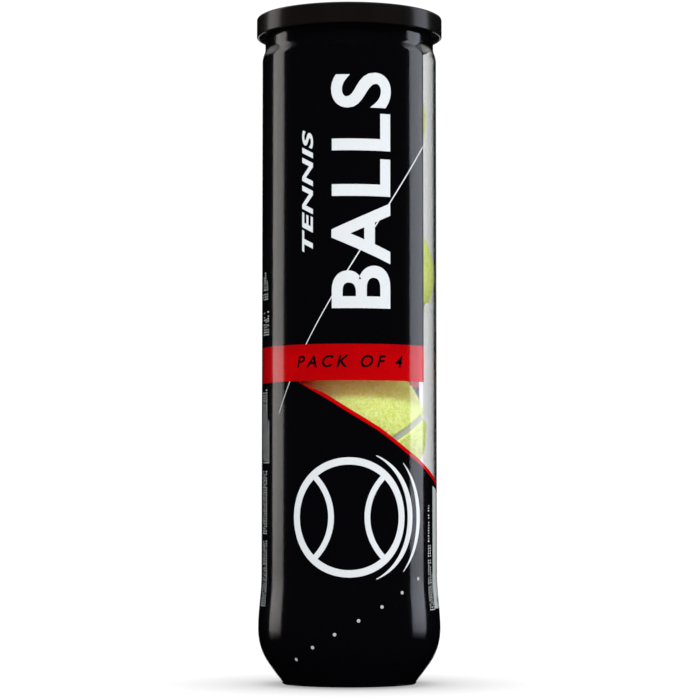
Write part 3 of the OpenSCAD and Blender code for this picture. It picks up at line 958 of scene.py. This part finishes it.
# %% Fibres
FIBRES = 9500
draw = np.random.default_rng(11)
open_dirs = skin_dirs[from_edge > 0.9]
open_r = skin_r[from_edge > 0.9]
ball_dirs = unit(draw.normal(size=(FIBRES * 4, 3)))[: FIBRES * 3]
nearest = np.array([int(np.argmax(open_dirs @ d)) for d in ball_dirs])
on_felt = (open_dirs[nearest] * ball_dirs).sum(1) > math.cos(0.7 / BALL_R)
root = ball_dirs[on_felt][:FIBRES]
root_r = open_r[nearest[on_felt][:FIBRES]]
lean = unit(np.cross(root, draw.normal(size=root.shape)))
sweep = unit(np.cross(root, lean) * draw.uniform(-1, 1, (len(root), 1)) + lean)
length = draw.uniform(0.8, 2.0, (len(root), 1))
lift = 0.12 + 0.75 * draw.uniform(0, 1, (len(root), 1)) ** 2
start = root * (root_r[:, None] - 0.12)
middle = start + lean * length * 0.5 + root * (lift + 0.12)
tip_lift = lift * draw.uniform(0.2, 1.3, (len(root), 1)) + 0.12
tip = start + (lean * 0.5 + sweep * 0.5) * length + root * tip_lift
points, faces = [], []
for s, m, e, out, run in zip(start, middle, tip, root, lean):
    cross = np.cross(out, run)
    first = len(points)
    for centre, half in ((s, 0.075), (m, 0.055)):
        points += [centre + cross * half, centre - cross * half, centre + out * half]
    points.append(e)
    a, b, c, d, f, g, h = range(first, first + 7)
    faces += [(c, b, a), (a, b, f, d), (b, c, g, f), (c, a, d, g), (d, f, h), (f, g, h), (g, d, h)]
nap = piece_from("nap", np.array(points) * MM, faces)
with editing(nap):
    bpy.ops.mesh.normals_make_consistent(inside=False)
felt_model = joined([felt_skin, nap])
print("one felt with its nap has", len(felt_model.data.polygons), "faces")

# %% [markdown]
# The felt is dyed optic yellow. It is matt, with a soft sheen at the edge where the fibres catch the light,
# and its colour varies a little from tuft to tuft. The seam is moulded rubber, dull and grey.

# %% Felt and seam finishes
yellow_felt, tree = finish_named("wool_felt_optic_yellow")
where = add(tree, "TexCoord").outputs["Object"]
tuft = add(tree, "TexNoise", Vector=where, Scale=1 / (1.4 * MM), Detail=4.0, Roughness=0.65)
patch = add(tree, "TexNoise", Vector=where, Scale=1 / (9 * MM), Detail=2.0)
contrast = add(tree, "MapRange", Value=tuft, From_Min=0.3, From_Max=0.7)
base = add(tree, "MixRGB", Fac=contrast, Color1=linear("CCDA56"), Color2=linear("E8EDAE"))
tone = add(tree, "MixRGB", Fac=add(tree, "MapRange", Value=patch, From_Min=0.35, From_Max=0.7, To_Max=0.45),
           Color1=base, Color2=linear("D8E17C"))
nubs = add(tree, "Bump", Height=tuft, Strength=0.8, Distance=0.25 * MM)
shade = add(tree, "BsdfPrincipled", Base_Color=tone, Roughness=0.95, IOR=1.45, Normal=nubs,
            Sheen_Weight=0.25, Sheen_Roughness=0.5, Sheen_Tint=linear("F4FF9A"), Specular_IOR_Level=0.15)
add(tree, "OutputMaterial", Surface=shade)

seam_rubber, tree = finish_named("rubber_moulded_seam_grey")
where = add(tree, "TexCoord").outputs["Object"]
grit = add(tree, "TexNoise", Vector=where, Scale=1 / (0.5 * MM), Detail=3.0)
tone = add(tree, "MixRGB", Fac=grit, Color1=linear("9FA492"), Color2=linear("B9BDA9"))
skin = add(tree, "Bump", Height=grit, Strength=0.6, Distance=0.06 * MM)
shade = add(tree, "BsdfPrincipled", Base_Color=tone, Roughness=0.7, IOR=1.52, Normal=skin)
add(tree, "OutputMaterial", Surface=shade)

# %% The seam
SECTIONS = 480
lap = np.linspace(0, 2 * math.pi, SECTIONS + 1)[:-1]
SECTION = [(-1.62, CORE_R), (-1.62, 32.12), (-1.3, 32.22), (-0.75, 32.02), (0, 31.92),
           (0.75, 32.02), (1.3, 32.22), (1.62, 32.12), (1.62, CORE_R), (0, CORE_R)]  # across, and radius
seam_rows = []
for across, radius in SECTION:
    wobble = np.array([noise.noise(Vector((7 * math.cos(t), 7 * math.sin(t), across))) for t in lap]) * 0.06
    directions = np.stack([beside_seam(t, across / BALL_R) for t in lap])
    seam_rows.append(directions * (radius + (wobble if radius > CORE_R else 0 * wobble))[:, None])
seam_points = np.concatenate(seam_rows)
seam_faces = [
    (k * SECTIONS + i, k * SECTIONS + (i + 1) % SECTIONS,
     (k + 1) % len(SECTION) * SECTIONS + (i + 1) % SECTIONS, (k + 1) % len(SECTION) * SECTIONS + i)
    for k in range(len(SECTION)) for i in range(SECTIONS)
]
seam_model = piece_from("seam_model", seam_points * MM, seam_faces)
with editing(seam_model):
    bpy.ops.mesh.normals_make_consistent(inside=False)

# %% [markdown]
# The felt and the seam are modelled once and copied. The second felt is the first, turned over. Each ball is
# turned its own way, and the nap is pressed flat where it would reach the bottle's wall.

# %% Place the balls
def placed(model, name, ball, over):
    """A copy of a ball's part, in its place in the can."""
    made = model.copy()
    made.data = model.data.copy()
    bpy.context.scene.collection.objects.link(made)
    turn = Euler([math.radians(a) for a in BALL_TURNS[ball]]).to_matrix()
    at = coordinates(made)
    if over:
        at *= (1, -1, -1)
    at = at @ np.array(turn).T + np.array(BALL_CENTRES[ball]) * MM
    reach = np.hypot(at[:, 0], at[:, 1])
    at[:, :2] *= np.minimum(1, (INSIDE_R - 0.1) * MM / np.maximum(reach, 1e-9))[:, None]
    reshape(made, at)
    return made


for ball in range(4):
    name = f"ball_{ball + 1}"
    for side, over in (("a", False), ("b", True)):
        felt = placed(felt_model, name, ball, over)
        settle(felt, f"{name}_nap_{side}", yellow_felt, name, f"{name}_felt_{side}", 60)
    seam = placed(seam_model, name, ball, False)
    settle(seam, f"{name}_seam_moulded", seam_rubber, name, f"{name}_seam", 60)
for model in (felt_model, seam_model):
    bpy.data.objects.remove(model)

# %% [markdown]
# ## CAD pieces that stay
# The rubber cores and the sealing compound are hidden in the finished can, and their CAD shapes are right.
# They only get their finishes.

# %% Rubber and sealing compound
def rubbery(name, code, second, roughness):
    """A dull finish of two close colours, with grit drawn at 0.8 mm."""
    made, tree = finish_named(name)
    where = add(tree, "TexCoord").outputs["Object"]
    grit = add(tree, "TexNoise", Vector=where, Scale=1 / (0.8 * MM), Detail=4.0)
    tone = add(tree, "MixRGB", Fac=grit, Color1=linear(code), Color2=linear(second))
    skin = add(tree, "Bump", Height=grit, Strength=0.5, Distance=0.05 * MM)
    shade = add(tree, "BsdfPrincipled", Base_Color=tone, Roughness=roughness, IOR=1.52, Normal=skin)
    add(tree, "OutputMaterial", Surface=shade)
    return made


core_rubber = rubbery("rubber_pressed_core", "2B2A29", "363432", 0.75)
compound = rubbery("sealing_compound_cured", "8E9693", "9AA29F", 0.5)
for node, cad_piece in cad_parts.items():
    if "core" in node:
        cad_piece.material_slots[0].material = core_rubber
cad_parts["seam_compound"].material_slots[0].material = compound
